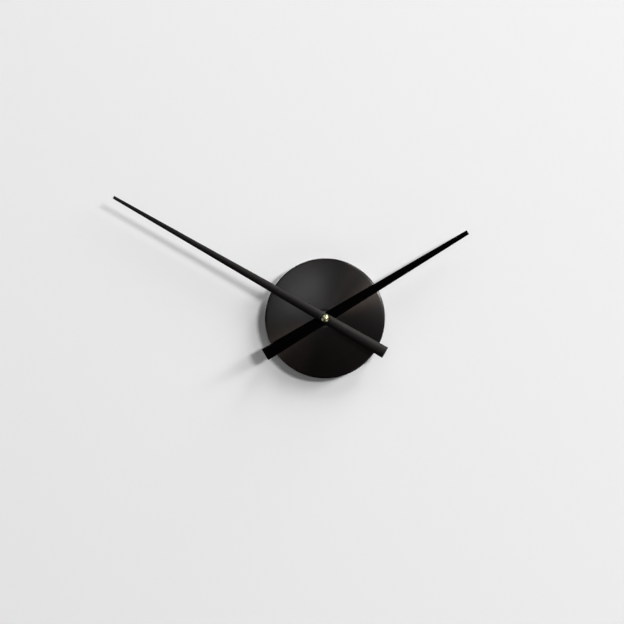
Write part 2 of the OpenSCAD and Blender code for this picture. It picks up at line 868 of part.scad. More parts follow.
// Closed nut with a domed top and a blind threaded hole
module cap_nut() {
    dome_r = (cap_nut_r * cap_nut_r + cap_dome * cap_dome) / (2 * cap_dome);
    top = cap_z + cap_skirt;
    color("#c9b370") difference() {
        union() {
            rod(cap_nut_r, cap_z, top);
            intersection() {
                translate([0, 0, top + cap_dome - dome_r]) sphere(r = dome_r);
                rod(cap_nut_r, top - tiny, top + cap_dome + 1);
            }
        }
        rod(thread_r, cap_z - 1, thread_end_z + 0.2);
    }
}

// Battery

module along_cell(x0, x1) {
    translate([x0, cell_y, cell_z]) rotate([0, 90, 0]) linear_extrude(x1 - x0) children();
}

module battery_cell() {
    cell_end = cell_x + cap_t;
    color("#b9bbbe") union() {
        along_cell(cell_end, cell_x + cell_len) circle(cell_r);
        along_cell(cell_x + cell_len - tiny, cell_x + cell_len + nub_len) circle(nub_r);
    }
}

module battery_label() {
    color("#3c6f8f") along_cell(cell_x + 1.2, cell_x + cell_len - 0.6) difference() {
        circle(cell_r + label_t);
        circle(cell_r);
    }
}

module battery_negative_cap() {
    color("#c9ccd0") along_cell(cell_x, cell_x + cap_t) circle(cap_r);
}

dial_frame() cover();
dial_frame() rubber_washer();
dial_frame() front_washer();
dial_frame() fixing_nut();
dial_frame() threaded_bush();
dial_frame() case_front();
dial_frame() case_back();
dial_frame() hanger();
dial_frame() train_plate();
dial_frame() circuit_board();
dial_frame() control_chip();
dial_frame() quartz_crystal();
dial_frame() battery_contact_positive();
dial_frame() battery_contact_negative();
dial_frame() coil_bobbin();
dial_frame() coil_winding();
dial_frame() coil_core();
dial_frame() stator_upper();
dial_frame() stator_lower();
dial_frame() minute_hand();
dial_frame() minute_hand_bush();
dial_frame() minute_counterweight();
dial_frame() cap_nut();
dial_frame() minute_pipe();
dial_frame() cannon_pinion();
dial_frame() hour_hand();
dial_frame() hour_hand_bush();
dial_frame() hour_counterweight();
dial_frame() hour_pipe();
dial_frame() hour_wheel();
dial_frame() centre_wheel();
dial_frame() clutch_spring();
dial_frame() third_wheel();
dial_frame() third_arbor();
dial_frame() seconds_wheel();
dial_frame() seconds_arbor();
dial_frame() fifth_wheel();
dial_frame() fifth_arbor();
dial_frame() rotor_pinion();
dial_frame() rotor_magnet();
dial_frame() rotor_arbor();
dial_frame() minute_wheel();
dial_frame() minute_wheel_arbor();
dial_frame() set_knob();
dial_frame() set_arbor();
dial_frame() set_pinion();
dial_frame() battery_cell();
dial_frame() battery_label();
dial_frame() battery_negative_cap();
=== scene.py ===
# Hands-only wall clock: finished surfaces, materials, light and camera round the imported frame.
# Settings are in millimetres on the dial: x to the right, y up, z out of the wall to the viewer.

import json
import math

import bmesh
import bpy
import numpy as np
from mathutils import Matrix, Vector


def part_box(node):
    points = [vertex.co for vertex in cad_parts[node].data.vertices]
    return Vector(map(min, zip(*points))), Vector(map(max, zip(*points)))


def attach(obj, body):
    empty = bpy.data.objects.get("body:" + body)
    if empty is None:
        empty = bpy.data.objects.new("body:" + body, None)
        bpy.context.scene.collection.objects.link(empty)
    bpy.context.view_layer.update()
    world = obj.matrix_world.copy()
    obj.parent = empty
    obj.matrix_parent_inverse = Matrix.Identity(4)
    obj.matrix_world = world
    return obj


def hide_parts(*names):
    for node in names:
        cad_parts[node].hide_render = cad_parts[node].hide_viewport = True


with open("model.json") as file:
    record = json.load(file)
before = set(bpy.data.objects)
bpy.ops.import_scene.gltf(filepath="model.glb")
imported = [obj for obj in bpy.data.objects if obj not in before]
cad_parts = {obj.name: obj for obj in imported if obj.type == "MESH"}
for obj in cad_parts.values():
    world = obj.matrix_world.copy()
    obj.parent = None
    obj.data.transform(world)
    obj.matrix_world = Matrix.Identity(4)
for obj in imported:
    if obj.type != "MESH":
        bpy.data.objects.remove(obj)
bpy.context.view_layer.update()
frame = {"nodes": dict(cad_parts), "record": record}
bodyOf = {node: body for body, nodes in frame["record"]["behaviour"]["bodies"].items() for node in nodes}
slotOf = {part["node"]: part["material_slot"] for part in frame["record"]["subparts"]}

millimetre = 0.001
uvName = "surface"


def toRow(points):
    # the dial's (x, y, z) in millimetres becomes the row frame's (x, -z, y) in metres
    return np.stack([points[..., 0], -points[..., 2], points[..., 1]], -1) * millimetre


def dialBox(node):
    # lowest and highest corner of a CAD node on the dial, in millimetres
    low, high = (np.array(corner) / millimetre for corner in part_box(node))
    return np.array([low[0], low[2], -high[1]]), np.array([high[0], high[2], -low[1]])


def arc(centre, radius, start, end, steps):
    # points at equal angles, in degrees, on a circle: the centre plus radius times (cosine, sine)
    angle = np.radians(np.linspace(start, end, steps + 1))
    return np.stack([centre[0] + radius * np.cos(angle), centre[1] + radius * np.sin(angle)], -1)


def roundedPath(corners, radii, steps=4):
    # A closed polygon whose every corner becomes an arc that is tangent to both of its sides. The arc's
    # centre lies radius / sin(half) from the corner, where half is half of the corner's inner angle, and
    # the arc touches each side radius / tan(half) from the corner.
    nearlyStraight = 1.5  # half of an inner angle, in radians, that is left as it is
    corners = np.array(corners, float)
    pieces = []
    for index, radius in enumerate(radii):
        corner = corners[index]
        back, ahead = (other - corner for other in (corners[index - 1], corners[(index + 1) % len(corners)]))
        back, ahead = back / np.linalg.norm(back), ahead / np.linalg.norm(ahead)
        half = math.acos(np.clip(back @ ahead, -1, 1)) / 2
        if radius == 0 or half > nearlyStraight:
            pieces.append(corner[None])
            continue
        middle = corner + (back + ahead) / np.linalg.norm(back + ahead) * radius / math.sin(half)
        first, last = (corner + side * radius / math.tan(half) - middle for side in (back, ahead))
        sweep = math.pi - 2 * half
        share = np.linspace(0, 1, steps + 1)[:, None]
        pieces.append(middle + (np.sin((1 - share) * sweep) * first + np.sin(share * sweep) * last)
                      / math.sin(sweep))
    return np.concatenate(pieces)


def pathLength(path):
    # distance along a path from its first point to each point, and back to the first
    steps = np.linalg.norm(np.diff(np.concatenate([path, path[:1]]), axis=0), axis=1)
    return np.concatenate([[0], np.cumsum(steps)])


def gridMesh(name, points, across, along, wrap=(True, True), creaseAngle=35):
    # one face for every cell of a grid of points; wrap joins the last row or column to the first.
    # The UV map is in metres: U runs across the grain of the finish, and V runs along it.
    rows, columns = points.shape[:2]
    row, column = np.meshgrid(np.arange(rows - 1 + wrap[0]), np.arange(columns - 1 + wrap[1]), indexing="ij")
    rowCorners = np.stack([row, row + 1, row + 1, row], -1).reshape(-1, 4)
    columnCorners = np.stack([column, column, column + 1, column + 1], -1).reshape(-1, 4)
    faces = (rowCorners % rows) * columns + columnCorners % columns
    mesh = bpy.data.meshes.new(name)
    mesh.from_pydata(toRow(points).reshape(-1, 3).tolist(), [], faces.tolist())
    uv = np.stack([across[rowCorners, columnCorners], along[rowCorners, columnCorners]], -1) * millimetre
    mesh.uv_layers.new(name=uvName).data.foreach_set("uv", uv.ravel())
    tidyMesh(mesh, creaseAngle)
    return mesh


def tidyMesh(mesh, creaseAngle, flatten=False):
    # joins seams and poles, turns faces outwards and keeps only edges over the crease angle sharp
    joinWithin, flatWithin = 2e-7, math.radians(0.5)  # metres, and the angle between faces of one plane
    work = bmesh.new()
    work.from_mesh(mesh)
    bmesh.ops.remove_doubles(work, verts=work.verts, dist=joinWithin)
    if flatten:
        bmesh.ops.dissolve_limit(work, angle_limit=flatWithin, verts=work.verts, edges=work.edges)
    bmesh.ops.recalc_face_normals(work, faces=work.faces)
    work.to_mesh(mesh)
    work.free()
    mesh.shade_smooth()
    mesh.set_sharp_from_angle(angle=math.radians(creaseAngle))


def addPiece(name, mesh, *nodes):
    # the piece rides with the first node that it stands for, and takes that node's slot and finish
    piece = bpy.data.objects.new(name, mesh)
    bpy.context.scene.collection.objects.link(piece)
    mesh.materials.clear()
    mesh.materials.append(finishes[slotOf[nodes[0]]])
    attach(piece, bodyOf[nodes[0]])
    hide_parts(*nodes)
    return piece


def turned(name, path, steps, place=None, reshape=None, creaseAngle=35):
    # a closed path of (radius, height) carried round an axis; reshape bends radius and height by angle,
    # and place puts the turned solid where it belongs on the dial
    angle = np.arange(steps) * 2 * math.pi / steps
    radius, height = (np.repeat(path[:, i:i + 1], steps, 1) for i in (0, 1))
    if reshape:
        radius, height = reshape(angle[None, :], radius, height)
    points = np.stack([radius * np.cos(angle), radius * np.sin(angle), height], -1)
    if place:
        points = place(points)
    across = np.repeat(pathLength(path)[:, None], steps + 1, 1)
    along = np.repeat(np.linspace(0, 2 * math.pi * path[:, 0].max(), steps + 1)[None], len(path) + 1, 0)
    return gridMesh(name, points, across, along, creaseAngle=creaseAngle)


def drill(piece, radius, low, high):
    # the piece less a cylinder along z, centred on the hands' axis
    path = np.array([[0, low], [radius, low], [radius, high], [0, high]])
    cutter = bpy.data.objects.new("cutter", turned("cutter", path, 64))
    bpy.context.scene.collection.objects.link(cutter)
    cut = piece.modifiers.new("hole", "BOOLEAN")
    cut.object = cutter
    cut.operation = "DIFFERENCE"
    whole = piece.data
    shown = piece.evaluated_get(bpy.context.evaluated_depsgraph_get())
    piece.data = bpy.data.meshes.new_from_object(shown)
    piece.modifiers.clear()
    piece.data.name = whole.name
    bpy.data.objects.remove(cutter)
    bpy.data.meshes.remove(whole)


def easedCopy(name, node, edge):
    # A merged copy of a CAD node with its sharp edges broken, as a mould or a press leaves them: every
    # edge that turns by more than 40 degrees gets a bevel of the given width.
    mesh = frame["nodes"][node].data.copy()
    tidyMesh(mesh, 30, flatten=True)
    piece = addPiece(name, mesh, node)
    bevel = piece.modifiers.new("broken edges", "BEVEL")
    bevel.width = edge * millimetre
    bevel.segments = 2
    bevel.limit_method = "ANGLE"
    bevel.angle_limit = math.radians(40)
    bevel.harden_normals = True
    return piece


def linear(hexColour):
    # sRGB hex to linear light: value / 12.92 up to 0.04045, and ((value + 0.055) / 1.055) ^ 2.4 above it
    srgb = np.array([int(hexColour[i:i + 2], 16) for i in (1, 3, 5)]) / 255
    light = np.where(srgb <= 0.04045, srgb / 12.92, ((srgb + 0.055) / 1.055) ** 2.4)
    return (*light.tolist(), 1.0)


def addNode(tree, kind, inputs=None, **settings):
    # inputs takes a value or another node's output for each socket
    node = tree.nodes.new(kind)
    for key, value in settings.items():
        setattr(node, key, value)
    for socket, value in (inputs or {}).items():
        if isinstance(value, bpy.types.NodeSocket):
            tree.links.new(value, node.inputs[socket])
        else:
            node.inputs[socket].default_value = value
    return node


def newMaterial(name, **sockets):
    # a material with one shader; underscores in the keywords stand for spaces in the sockets' names
    material = bpy.data.materials.new(name)
    material.use_nodes = True
    tree = material.node_tree
    tree.nodes.clear()
    shader = addNode(tree, "ShaderNodeBsdfPrincipled",
                     {key.replace("_", " "): value for key, value in sockets.items()})
    addNode(tree, "ShaderNodeOutputMaterial", {"Surface": shader.outputs["BSDF"]})
    return material, tree, shader


def ramp(tree, value, *stops, interpolation="LINEAR"):
    # a colour ramp through (position, hex colour) stops
    node = addNode(tree, "ShaderNodeValToRGB", {"Fac": value})
    node.color_ramp.interpolation = interpolation
    while len(node.color_ramp.elements) < len(stops):
        node.color_ramp.elements.new(0.5)
    for element, (position, colour) in zip(node.color_ramp.elements, stops):
        element.position = position
        element.color = linear(colour)
    return node.outputs["Color"]


def grain(tree, coordinates, size, detail=2.0):
    # noise of the place divided by size, so its features are about size metres across on each axis
    stretched = addNode(tree, "ShaderNodeVectorMath", {0: coordinates, 1: [1 / s for s in size]},
                        operation="MULTIPLY")
    noise = addNode(tree, "ShaderNodeTexNoise",
                    {"Vector": stretched.outputs[0], "Scale": 1.0, "Detail": detail})
    return noise.outputs["Fac"]


def between(tree, value, low, high):
    # the middle of a noise, 0.3 to 0.7, spread evenly over low to high
    return addNode(tree, "ShaderNodeMapRange", {"Value": value, "From Min": 0.3, "From Max": 0.7,
                                                "To Min": low, "To Max": high}).outputs["Result"]


def raised(tree, shader, height, depth):
    # bump whose full height is depth metres
    bump = addNode(tree, "ShaderNodeBump", {"Height": height, "Distance": depth, "Strength": 1.0})
    tree.links.new(bump.outputs["Normal"], shader.inputs["Normal"])


def grainedMetal(name, dark, light, roughness, anisotropy, grooveWidth, grooveLength, depth, **sockets):
    # Metal with a directional finish: fine lines run along V, so lights smear across them, along U.
    # The tone varies in bands twelve lines wide, and the roughness with the lines themselves.
    material, tree, shader = newMaterial(name, Metallic=1.0, Anisotropic=anisotropy, **sockets)
    surface = addNode(tree, "ShaderNodeUVMap", uv_map=uvName).outputs["UV"]
    lines = grain(tree, surface, (grooveWidth, grooveLength, 1), 3.0)
    bands = grain(tree, surface, (grooveWidth * 12, grooveLength, 1))
    tree.links.new(ramp(tree, bands, (0.3, dark), (0.7, light)), shader.inputs["Base Color"])
    tree.links.new(between(tree, lines, roughness - 0.03, roughness + 0.04), shader.inputs["Roughness"])
    tangent = addNode(tree, "ShaderNodeTangent", direction_type="UV_MAP", uv_map=uvName)
    tree.links.new(tangent.outputs["Tangent"], shader.inputs["Tangent"])
    raised(tree, shader, lines, depth)
    return material


def plainMetal(name, dark, light, roughness, patch, depth=2e-6):
    # Metal with no direction: soft patches of tone, and an unevenness a sixth as large, which moves
    # the roughness and the height.
    material, tree, shader = newMaterial(name, Metallic=1.0)
    place = addNode(tree, "ShaderNodeTexCoord").outputs["Object"]
    patches = grain(tree, place, (patch,) * 3)
    fine = grain(tree, place, (patch / 6,) * 3)
    tree.links.new(ramp(tree, patches, (0.3, dark), (0.7, light)), shader.inputs["Base Color"])
    tree.links.new(between(tree, fine, roughness - 0.05, roughness + 0.06), shader.inputs["Roughness"])
    raised(tree, shader, fine, depth)
    return material


def plastic(name, dark, light, roughness, patch, depth, ior=1.53, **sockets):
    # Moulded plastic or rubber: the fine skin of the mould moves roughness and height, and the tone
    # drifts over clouds twenty times larger.
    material, tree, shader = newMaterial(name, IOR=ior, **sockets)
    place = addNode(tree, "ShaderNodeTexCoord").outputs["Object"]
    skin = grain(tree, place, (patch,) * 3, 4.0)
    cloud = grain(tree, place, (patch * 20,) * 3)
    tree.links.new(ramp(tree, cloud, (0.3, dark), (0.7, light)), shader.inputs["Base Color"])
    tree.links.new(between(tree, skin, roughness - 0.05, roughness + 0.08), shader.inputs["Roughness"])
    raised(tree, shader, skin, depth)
    return material


def spunAnodised():
    # Black anodised aluminium, turned in a lathe: rings that draw every light out into a fan.
    # The rings are drawn 0.5 mm apart, coarser than the real ones, so that they can be seen.
    # A satin lacquer over them carries the softer, rounder reflections.
    return grainedMetal("spunBlackAnodised", "#1a1512", "#1f1a17", 0.40, 0.97, 0.0005, 3.0, 1.0e-6,
                        Coat_Weight=1.0, Coat_Roughness=0.18)


def brushedAnodised():
    # Black anodised aluminium, drawn and brushed lengthwise: light lies in a band along the hand.
    return grainedMetal("brushedBlackAnodised", "#242322", "#292827", 0.45, 0.9, 0.0004, 0.05, 1.0e-6)


def shadeDarkenedAnodised():
    # Black anodised aluminium for the hour hand: the minute hand's finish with a far darker base and a weaker
    # sheen. This is painted shade, so the hour hand stays unlit and swallows almost all light.
    return grainedMetal("shadeDarkenedBlackAnodised", "#040404", "#060606", 0.42, 0.4, 0.0004, 0.05, 1.0e-6)


def turnedBrass():
    # Pale brass, turned and polished: faint tool rings under a bright skin.
    return grainedMetal("turnedPaleBrass", "#c6bc8c", "#ddd6b0", 0.3, 0.3, 0.00012, 0.02, 6e-7)


def solderMaskBoard():
    # Fibreglass board under green solder mask: copper tracks show through as lighter lines.
    material, tree, shader = newMaterial("greenSolderMask", IOR=1.55, Roughness=0.32)
    place = addNode(tree, "ShaderNodeTexCoord").outputs["Object"]
    turnedPlace = addNode(tree, "ShaderNodeMapping", {"Vector": place, "Rotation": (math.pi / 2, 0, 0)})
    tracks = addNode(tree, "ShaderNodeTexBrick",
                     {"Vector": turnedPlace.outputs["Vector"], "Scale": 1.0, "Mortar Size": 0.00022,
                      "Brick Width": 0.0042, "Row Height": 0.0013, "Color1": linear("#2c4a21"),
                      "Color2": linear("#304f25"), "Mortar": linear("#5d8440")}, offset=0.37)
    tree.links.new(tracks.outputs["Color"], shader.inputs["Base Color"])
    raised(tree, shader, tracks.outputs["Fac"], 2e-5)
    return material


def woundWire():
    # Enamelled copper wire: a warm, slightly glassy lacquer over each turn.
    material, tree, shader = newMaterial("enamelledCopperWire", Metallic=1.0, Roughness=0.3,
                                         Coat_Weight=0.5, Coat_Roughness=0.15)
    place = addNode(tree, "ShaderNodeTexCoord").outputs["Object"]
    patches = grain(tree, place, (0.002,) * 3)
    tree.links.new(ramp(tree, patches, (0.3, "#8f3f1c"), (0.7, "#c0703a")), shader.inputs["Base Color"])
    return material


def printedSleeve():
    # Printed shrink film round the cell: plain bands of colour, read along the cell.
    material, tree, shader = newMaterial("printedSleeve", IOR=1.5, Roughness=0.28, Coat_Weight=0.3)
    surface = addNode(tree, "ShaderNodeUVMap", uv_map=uvName).outputs["UV"]
    along = addNode(tree, "ShaderNodeSeparateXYZ", {0: surface}).outputs["X"]
    length = (dialBox("battery_label")[1] - dialBox("battery_label")[0])[0] * millimetre
    share = addNode(tree, "ShaderNodeMath", {0: along, 1: length}, operation="DIVIDE").outputs[0]
    bands = ramp(tree, share, (0.0, "#1c2a3c"), (0.66, "#1c2a3c"), (0.67, "#d9dadb"), (0.69, "#d9dadb"),
                 (0.70, "#8f969c"), interpolation="CONSTANT")
    tree.links.new(bands, shader.inputs["Base Color"])
    place = addNode(tree, "ShaderNodeTexCoord").outputs["Object"]
    raised(tree, shader, grain(tree, place, (0.004,) * 3), 2e-5)
    return material


finishes = {
    "cover_black": spunAnodised(),
    "satin_black": brushedAnodised(),
    # the hour hand: painted shade, a darker and duller copy of the minute hand's finish
    "deep_black": shadeDarkenedAnodised(),
    "brass": turnedBrass(),
    # brass cut on a machine and left bare: warm yellow, a little dull in patches where air has reached it
    "gear_brass": plainMetal("machinedBrass", "#a98b4e", "#c0a263", 0.32, 0.002),
    # ABS moulded in an etched mould: even near-black, with a fine grain that spreads each light.
    # The grain is drawn 1.2 mm across, coarser than the real 0.1 mm, so that it can be seen.
    "black_plastic": plastic("etchedBlackAbs", "#111111", "#181819", 0.44, 0.0012, 1.2e-4),
    # the same ABS from a smoother mould: the knob looks a touch greyer and silkier than the case
    "knob_plastic": plastic("satinBlackAbs", "#161616", "#1b1b1c", 0.40, 0.0005, 8e-6),
    # nitrile rubber, cut from sheet: dull and slightly brown, with no clear highlight
    "rubber": plastic("cutNitrileRubber", "#0f0f0f", "#151514", 0.72, 0.0003, 1e-5, 1.52),
    # undyed ABS, moulded: warm cream that reads as solid, with a soft sheen
    "ivory_plastic": plastic("ivoryAbs", "#c9c2ad", "#d3cdba", 0.42, 0.0006, 6e-6),
    # undyed acetal, moulded: cooler and waxier, because light travels a little way into it
    "white_plastic": plastic("naturalAcetal", "#dcd8cb", "#e6e3d8", 0.34, 0.0006, 3e-6, 1.48,
                             Subsurface_Weight=0.15, Subsurface_Scale=0.0008),
    # steel wire, drawn through a die and polished: bright, with small clean highlights
    "steel": plainMetal("drawnSteel", "#9b9da0", "#b4b6b9", 0.22, 0.001),
    # bar steel as it leaves the rolling mill: dark grey and cloudy
    "weight_steel": plainMetal("millSteel", "#5d5f62", "#74777a", 0.45, 0.003, 6e-6),
    # stamped iron, softened in a furnace: mid grey that has lost its shine
    "soft_iron": plainMetal("annealedIron", "#6e7175", "#84878b", 0.40, 0.002, 4e-6),
    # pressed and baked magnet powder: almost black, with the tight grain of the powder
    "magnet": plainMetal("sinteredFerrite", "#3d3d40", "#4b4b4f", 0.5, 0.0008, 8e-6),
    "copper_wire": woundWire(),
    # spring strip with nickel plate: silver with a trace of yellow
    "contact_metal": plainMetal("nickelPlatedStrip", "#a9a79d", "#c4c2b9", 0.25, 0.003),
    "board": solderMaskBoard(),
    # a drop of epoxy left to set: smooth, wet-looking black
    "resin": plastic("setBlackEpoxy", "#0b0b0c", "#121213", 0.18, 0.002, 2e-5, 1.55),
    # deep-drawn steel can with nickel plate: bright and slightly rippled
    "can_metal": plainMetal("nickelPlatedCan", "#b2b5b8", "#c7cacd", 0.24, 0.004),
    "label_film": printedSleeve(),
}
print("materials:", len(finishes))


cover = dict(crown=500, land=9, hole=4.05, sheet=1.2, skirt=1.0, shoulder=1.4, edge=0.22)


def crownPath(flatHeight, radius, edge, fillet, steps):
    # A circle's arc over the front, from the flat land, then the shoulder's arc down to the skirt. The
    # circle's centre lies sqrt(radius^2 - land^2) under the land, and the shoulder's centre lies
    # radius - fillet from it, which makes the two arcs tangent.
    middle = flatHeight - math.sqrt(radius ** 2 - cover["land"] ** 2)
    shoulder = (edge - fillet, middle + math.sqrt((radius - fillet) ** 2 - (edge - fillet) ** 2))
    touch = math.degrees(math.atan2(shoulder[1] - middle, shoulder[0]))
    start = math.degrees(math.acos(cover["land"] / radius))
    return np.concatenate([arc((0, middle), radius, start, touch, steps),
                           arc(shoulder, fillet, touch, 0, 10)])


def makeCover():
    # the sheet's outline turned round the hands' axis: the inside lies one sheet under the front, and
    # one skirt's thickness inside the edge
    low, high = dialBox("cover")
    outer = high[0]
    inner = outer - cover["skirt"]
    front, back = high[2], high[2] - cover["sheet"]
    edge = cover["edge"]
    outside = crownPath(front, cover["crown"], outer, cover["shoulder"], 40)
    inside = crownPath(back, cover["crown"] - cover["sheet"], inner, cover["shoulder"] - cover["skirt"], 24)
    rim = roundedPath([outside[-1], (outer, low[2]), (inner, low[2]), inside[-1]], (0, edge, edge, 0))
    hole = roundedPath([inside[0], (cover["hole"], back), (cover["hole"], front), outside[0]],
                       (0, edge, edge, 0))
    path = np.concatenate([hole[1:], outside[1:], rim[1:-1], inside[::-1]])
    addPiece("coverShell", turned("coverShell", path, 256), "cover")


def makeRing(name, node, bore, edge, steps=96):
    # a flat washer with rounded edges: a rounded rectangle from bore to rim, turned round the axis
    low, high = dialBox(node)
    path = roundedPath([(bore, low[2]), (high[0], low[2]), (high[0], high[2]), (bore, high[2])], (edge,) * 4)
    addPiece(name, turned(name, path, steps), node)


fixingNut = dict(bore=4.0, cone=30, faceShare=0.96, wallShare=1.2, onWall=0.1, chamfer=0.2, steps=180)


def makeFixingNut():
    # A hexagon whose corners are turned off to a cone at both faces. A wall lies apothem / cos(angle from
    # the middle of its side) from the axis, and its end drops by (that - faceRadius) * tan(cone).
    low, high = dialBox("fixing_nut")
    apothem = (high[1] - low[1]) / 2
    bore, chamfer, slope = fixingNut["bore"], fixingNut["chamfer"], math.tan(math.radians(fixingNut["cone"]))
    faceRadius = apothem * fixingNut["faceShare"]

    def hexagon(angle, radius, height):
        corner = apothem / np.cos(angle % (math.pi / 3) - math.pi / 6)
        onWall = radius > faceRadius + fixingNut["onWall"]
        drop = (corner - faceRadius) * slope
        shift = np.where(height > (low[2] + high[2]) / 2, -drop, drop)
        return np.where(onWall, corner, radius), np.where(onWall, height + shift, height)

    wall = apothem * fixingNut["wallShare"]
    path = np.array([(bore, low[2] + chamfer), (bore + chamfer, low[2]), (faceRadius, low[2]),
                     (wall, low[2]), (wall, high[2]), (faceRadius, high[2]),
                     (bore + chamfer, high[2]), (bore, high[2] - chamfer)])
    mesh = turned("fixingNutHex", path, fixingNut["steps"], reshape=hexagon, creaseAngle=20)
    addPiece("fixingNutHex", mesh, "fixing_nut")


threadedBush = dict(pitch=0.5, depth=0.18, bore=2.6, radius=4.0, flange=0.6, plain=1.4, runOut=0.25,
                    chamfer=0.3, rows=96)


def makeThreadedBush():
    # A flanged tube with a helix: under the crest by depth * |2 * part - 1|, where part is what is left
    # of height / pitch - angle / full turn after its whole turns are taken away.
    low, high = dialBox("threaded_bush")
    pitch, depth, bore, radius, flange = (threadedBush[key] for key in
                                          ("pitch", "depth", "bore", "radius", "flange"))
    threads = np.linspace(low[2] + flange + threadedBush["plain"], high[2] - threadedBush["runOut"],
                          threadedBush["rows"])
    outline = [(bore, low[2]), (high[0], low[2]), (high[0], low[2] + flange),
               (radius - depth, low[2] + flange)]
    path = np.concatenate([outline, np.stack([np.full(len(threads), radius), threads], -1),
                           [(radius - threadedBush["chamfer"], high[2]), (bore, high[2])]])

    def helix(angle, radii, height):
        wave = np.abs((height / pitch - angle / (2 * math.pi)) % 1 * 2 - 1)
        onThread = np.abs(radii - radius) < 0.001
        return np.where(onThread, radii - depth * wave, radii), height

    addPiece("threadedBushTube", turned("threadedBushTube", path, 96, reshape=helix), "threaded_bush")


makeCover()
makeRing("rubberWasherRing", "rubber_washer", 4.0, 0.3)
makeRing("frontWasherRing", "front_washer", 4.0, 0.12)
makeFixingNut()
makeThreadedBush()
print("cover and fixings done")


minuteHand = dict(node="minute_hand", reach=222, tail=63, tipWidth=3.2, tailWidth=11.2, angle=150.2, boss=3.0)
hourHand = dict(node="hour_hand", reach=152, tail=64, tipWidth=4.6, tailWidth=12.2, angle=31.1, boss=3.4)
handSection = dict(crown=0.30, wall=0.8, lip=0.2, endWall=1.2, endEdge=0.25)


def handSections(hand):
    # Stations along a hand: place, inset of a rounded end, whether the inside is filled, and closed
    # ends. A rounded end is a quarter circle: its place is edge * (1 - cosine) from the end, and its
    # inset is edge * (1 - sine).
    edge, wall = handSection["endEdge"], handSection["endWall"]
    turn = np.radians(np.linspace(0, 90, 5))
    endPlace = np.concatenate([[0], edge * (1 - np.cos(turn)), [wall]])
    endInset = np.concatenate([[edge], edge * (1 - np.sin(turn)), [0]])
    middle = np.linspace(-hand["tail"] + wall, hand["reach"] - wall, 60)
    place = np.concatenate([endPlace - hand["tail"], middle, hand["reach"] - endPlace[::-1]])
    inset = np.concatenate([endInset, np.zeros(len(middle)), endInset[::-1]])
    filled = np.concatenate([np.ones(len(endPlace)), np.zeros(len(middle)), np.ones(len(endPlace))])
    closed = np.zeros(len(place))
    closed[[0, -1]] = 1
    return [values[:, None] for values in (place, inset, filled, closed)]


def handGrid(hand):
    # Each section is half of a loop and its mirror image: a circle's arc over the crown, a small arc
    # round the lip, the flat lip, and the same again for the hollow underneath, one wall further in.
    # The crown circle's radius over the hand's width is (1/4 + crown^2) / (2 * crown).
    place, inset, filled, closed = handSections(hand)
    slope = (hand["tailWidth"] - hand["tipWidth"]) / (hand["tail"] + hand["reach"])
    width = hand["tailWidth"] - slope * (place + hand["tail"])
    crown, lip = handSection["crown"], handSection["lip"]
    share = (0.25 + crown ** 2) / (2 * crown)  # the circle's radius over the hand's width
    depth = (share - crown) * width  # how far the circle's centre lies under the hand
    outer, inner = share * width - inset, share * width - handSection["wall"]
    lipHeight = inset + lip
    lipOut = np.sqrt((outer - lip) ** 2 - (depth + lipHeight) ** 2)
    lipIn = np.sqrt((inner + lip) ** 2 - (depth + lip) ** 2)
    touchOut, touchIn = np.arctan2(lipOut, depth + lipHeight), np.arctan2(lipIn, depth + lip)
    over = touchOut * np.linspace(0, 1, 19)
    roundLip = touchOut + (math.pi - touchOut) * np.linspace(0, 1, 7)[1:]
    roundIn = math.pi + touchIn * np.linspace(0, 1, 6)
    under = touchIn * np.linspace(1, 0, 13)[1:]
    side = np.concatenate([outer * np.sin(over), lipOut + lip * np.sin(roundLip),
                           lipIn + lip * np.sin(roundIn), inner * np.sin(under)], 1)
    hollow = np.concatenate([lip + lip * np.cos(roundIn), inner * np.cos(under) - depth], 1)
    hollow = np.where(filled > 0, inset, hollow)
    height = np.concatenate([outer * np.cos(over) - depth, lipHeight + lip * np.cos(roundLip), hollow], 1)
    side = np.concatenate([side, -side[:, -2:0:-1]], 1)
    height = np.concatenate([height, height[:, -2:0:-1]], 1)
    side = np.where(closed > 0, 0, side)
    height = np.where(closed > 0, crown * width / 2, height)
    return place, side, height


def makeHand(name, hand):
    # the sections turned to the hand's own direction, on the level of its CAD underside:
    # x is place * cosine - side * sine, and y is place * sine + side * cosine
    place, side, height = handGrid(hand)
    low, high = dialBox(hand["node"])
    angle = math.radians(hand["angle"])
    points = np.stack([place * math.cos(angle) - side * math.sin(angle),
                       place * math.sin(angle) + side * math.cos(angle), height + low[2]], -1)
    rows, columns = side.shape
    loop = np.stack([side[rows // 2], height[rows // 2]], -1)
    across = np.repeat(pathLength(loop)[None], rows + 1, 0)
    along = np.repeat(np.concatenate([place, place[-1:]]), columns + 1, 1)
    mesh = gridMesh(name, points, across, along, wrap=(False, True))
    drill(addPiece(name, mesh, hand["node"]), hand["boss"], low[2] - 1, high[2] + 1)


makeHand("minuteHandShell", minuteHand)
makeHand("hourHandShell", hourHand)

capNut = dict(thread=1.4, threadDepth=2.4, chamfer=0.2, skirt=2.0, dome=1.8, domeInset=0.3, edge=0.25,
              topEdge=0.15, step=0.05, knurls=36, knurlDepth=0.13, knurlEnd=0.25, onSkirt=0.2, rows=8)


